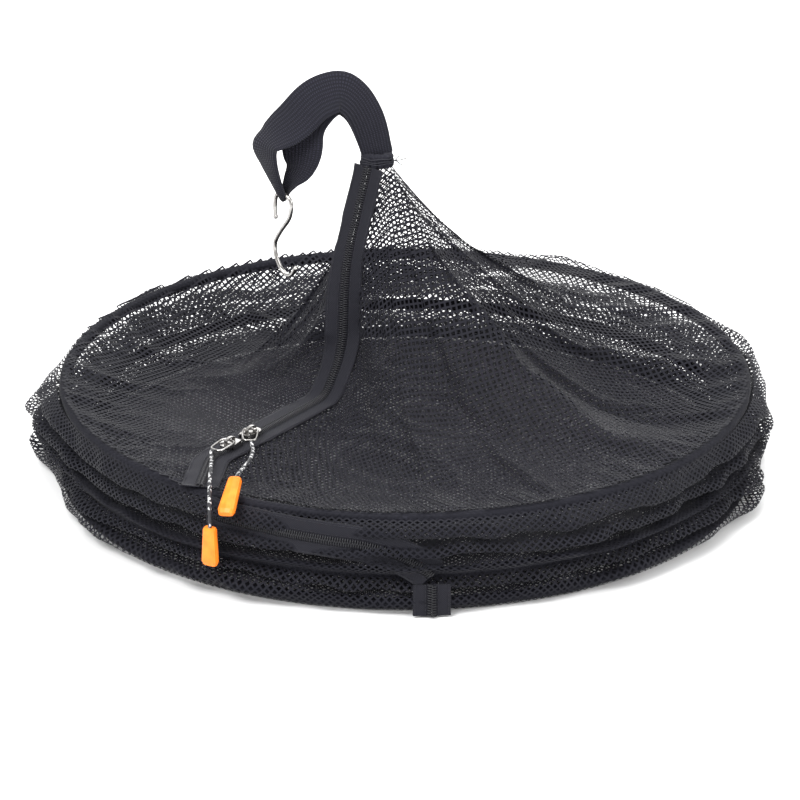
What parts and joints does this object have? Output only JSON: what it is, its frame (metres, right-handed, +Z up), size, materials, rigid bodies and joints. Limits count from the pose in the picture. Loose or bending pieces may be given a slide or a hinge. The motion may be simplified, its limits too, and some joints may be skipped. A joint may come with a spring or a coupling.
{
  "type": "folding crab trap",
  "caption": "Round collapsible net cage with stacked wire hoops, folding net walls, a peaked net roof, a long zip, a webbing handle and a hanging hook.",
  "frame": {"origin": "centre of the base net's underside, where the cage rests", "axes": "+Z up through the hoops; -Y is the front, where the walls' zip ends; +X to the right"},
  "size_m": [0.4124, 0.4161, 0.2434],
  "materials": {
    "net": "black knotless knitted polyester net with diamond holes",
    "zip_tape": "black woven polyester tape and binding",
    "zip_coil": "black nylon coil",
    "webbing": "black woven polypropylene webbing",
    "spring_wire": "drawn spring steel wire",
    "steel": "nickel-plated, lightly worn",
    "pull_cord": "black braided cord with pale flecks",
    "grip": "orange moulded plastic, satin"
  },
  "bodies": {
    "base": {"base_hoop_wire": "spring_wire", "base_hoop_sleeve": "zip_tape", "base_hoop_ferrule": "steel", "base_net": "net", "lower_wall_net": "net", "lower_zip_tape_left": "zip_tape", "lower_zip_tape_right": "zip_tape", "lower_zip_coil_left": "zip_coil", "lower_zip_coil_right": "zip_coil"},
    "middle": {"middle_hoop_wire": "spring_wire", "middle_hoop_sleeve": "zip_tape", "middle_hoop_ferrule": "steel", "tray_net": "net", "upper_wall_net": "net", "upper_zip_tape_left": "zip_tape", "upper_zip_tape_right": "zip_tape", "upper_zip_coil_left": "zip_coil", "upper_zip_coil_right": "zip_coil"},
    "top": {"top_hoop_wire": "spring_wire", "top_hoop_sleeve": "zip_tape", "top_hoop_ferrule": "steel", "roof_net": "net", "roof_zip_tape_left": "zip_tape", "roof_zip_tape_right": "zip_tape", "roof_zip_coil_left": "zip_coil", "roof_zip_coil_right": "zip_coil"},
    "apex": {"apex_collar": "webbing"},
    "handle": {"handle_strap": "webbing"},
    "hook": {"s_hook": "steel"},
    "lower_slider": {"lower_slider_body": "steel"},
    "upper_slider": {"upper_slider_body": "steel"},
    "lower_pull": {"lower_pull_bail": "steel", "lower_pull_cord": "pull_cord", "lower_pull_grip": "grip"},
    "upper_pull": {"upper_pull_bail": "steel", "upper_pull_cord": "pull_cord", "upper_pull_grip": "grip"}
  },
  "joints": [
    {"name": "middle_hoop_lift", "type": "slide", "parent": "base", "child": "middle", "axis": [0, 0, 1], "range_m": [0, 0.125], "deforming": ["lower_wall_net", "lower_zip_tape_left", "lower_zip_tape_right", "lower_zip_coil_left", "lower_zip_coil_right"]},
    {"name": "top_hoop_lift", "type": "slide", "parent": "middle", "child": "top", "axis": [0, 0, 1], "range_m": [0, 0.125], "deforming": ["upper_wall_net", "upper_zip_tape_left", "upper_zip_tape_right", "upper_zip_coil_left", "upper_zip_coil_right"]},
    {"name": "apex_lift", "type": "slide", "parent": "top", "child": "apex", "axis": [0, 0, 1], "range_m": [-0.045, 0.045], "deforming": ["roof_net", "roof_zip_tape_left", "roof_zip_tape_right", "roof_zip_coil_left", "roof_zip_coil_right"]},
    {"name": "handle_swing", "type": "hinge", "parent": "apex", "child": "handle", "pos_m": [-0.0156, 0.001, 0.1952], "axis": [1, 0, 0], "range_deg": [-15, 15]},
    {"name": "hook_swing", "type": "hinge", "parent": "handle", "child": "hook", "pos_m": [-0.0694, -0.0115, 0.1736], "axis": [0.7071, -0.7071, 0], "range_deg": [-20, 20]},
    {"name": "lower_slider_slide", "type": "slide", "parent": "top", "child": "lower_slider", "axis": [0.5999, 0.7999, 0.0152], "range_m": [-0.005, 0]},
    {"name": "upper_slider_slide", "type": "slide", "parent": "top", "child": "upper_slider", "axis": [0.5999, 0.7999, 0.0152], "range_m": [0, 0.004]},
    {"name": "lower_pull_swing", "type": "hinge", "parent": "lower_slider", "child": "lower_pull", "pos_m": [-0.09835, -0.11547, 0.06606], "axis": [-0.8, 0.6, 0], "range_deg": [0, 100]},
    {"name": "upper_pull_swing", "type": "hinge", "parent": "upper_slider", "child": "upper_pull", "pos_m": [-0.08695, -0.10027, 0.06635], "axis": [-0.9994, 0.0327, -0.0087], "range_deg": [0, 100]}
  ],
  "couplings": [
    {"joint": "top_hoop_lift", "follows": "middle_hoop_lift", "ratio": 1}
  ]
}
